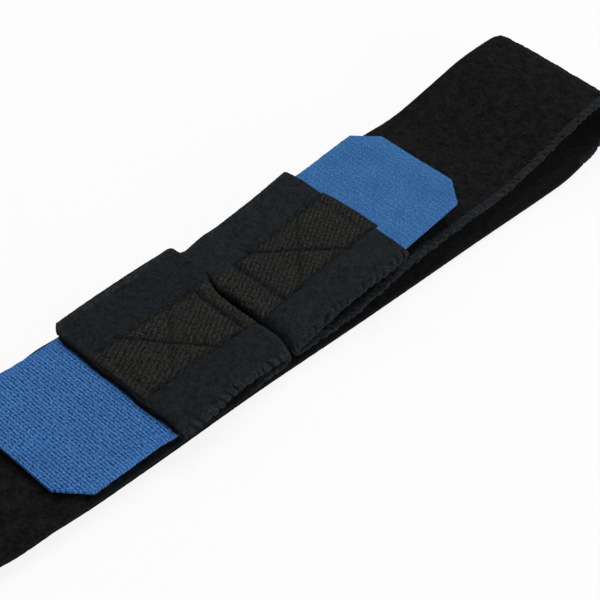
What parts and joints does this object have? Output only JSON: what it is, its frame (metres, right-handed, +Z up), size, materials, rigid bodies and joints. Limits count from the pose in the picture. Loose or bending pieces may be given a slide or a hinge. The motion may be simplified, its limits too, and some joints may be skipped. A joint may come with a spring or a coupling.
{
  "type": "hand wrap",
  "caption": "Black plush elastic band laid as a flat loop, its folded-back ends meeting in the middle and each carrying a blue hook tape tab that fastens on the plush.",
  "frame": {"origin": "on the table, under the groove between the two folded ends, in the middle of the band's width", "axes": "+X along the band towards the end with the longer panel, +Y across the band, +Z up from the table"},
  "size_m": [0.314, 0.043, 0.022],
  "materials": {
    "webbing": "matt felted elastic weave",
    "plush": "brushed loop pile",
    "selvage": "ribbed overlocked edge",
    "twill": "coarse twill tape",
    "hook_tape": "woven nylon tape",
    "hooks": "stiff filament hooks",
    "thread": "sewing thread"
  },
  "bodies": {
    "base": {"base_webbing": "webbing", "base_plush": "plush", "base_selvages": "selvage", "base_centre_tape": "twill"},
    "right_limb": {"right_limb_webbing": "webbing", "right_limb_plush": "plush", "right_limb_selvages": "selvage", "right_limb_centre_tape": "twill", "right_fold_webbing": "webbing", "right_fold_plush": "plush", "right_fold_selvages": "selvage", "right_fold_centre_tape": "twill"},
    "right_end": {"right_panel_webbing": "webbing", "right_panel_plush": "plush", "right_panel_selvages": "selvage", "right_panel_centre_tape": "twill", "right_tab_anchor": "hook_tape", "right_tab_anchor_hooks": "hooks", "right_box_stitching": "thread"},
    "right_tab": {"right_tab_flap": "hook_tape", "right_tab_flap_hooks": "hooks"},
    "left_limb": {"left_limb_webbing": "webbing", "left_limb_plush": "plush", "left_limb_selvages": "selvage", "left_limb_centre_tape": "twill", "left_fold_webbing": "webbing", "left_fold_plush": "plush", "left_fold_selvages": "selvage", "left_fold_centre_tape": "twill"},
    "left_end": {"left_panel_webbing": "webbing", "left_panel_plush": "plush", "left_panel_selvages": "selvage", "left_panel_centre_tape": "twill", "left_tab_anchor": "hook_tape", "left_tab_anchor_hooks": "hooks", "left_box_stitching": "thread"},
    "left_tab": {"left_tab_flap": "hook_tape", "left_tab_flap_hooks": "hooks"}
  },
  "joints": [
    {"name": "right_limb_open", "type": "hinge", "parent": "base", "child": "right_limb", "pos_m": [0.157, 0, 0.011], "axis": [0, 1, 0], "range_deg": [0, 150]},
    {"name": "right_end_unfold", "type": "hinge", "parent": "right_limb", "child": "right_end", "pos_m": [0.0043, 0, 0.0065], "axis": [0, -1, 0], "range_deg": [0, 78], "deforming": ["right_fold_webbing", "right_fold_plush", "right_fold_selvages", "right_fold_centre_tape"]},
    {"name": "right_tab_peel", "type": "hinge", "parent": "right_end", "child": "right_tab", "pos_m": [0.04394, 0, 0.01562], "axis": [0, -1, 0], "range_deg": [0, 165]},
    {"name": "left_limb_open", "type": "hinge", "parent": "base", "child": "left_limb", "pos_m": [-0.157, 0, 0.011], "axis": [0, -1, 0], "range_deg": [0, 150]},
    {"name": "left_end_unfold", "type": "hinge", "parent": "left_limb", "child": "left_end", "pos_m": [-0.0054, 0, 0.0076], "axis": [0, 1, 0], "range_deg": [0, 88], "deforming": ["left_fold_webbing", "left_fold_plush", "left_fold_selvages", "left_fold_centre_tape"]},
    {"name": "left_tab_peel", "type": "hinge", "parent": "left_end", "child": "left_tab", "pos_m": [-0.0434, 0, 0.00992], "axis": [0, 1, 0], "range_deg": [0, 165]}
  ]
}
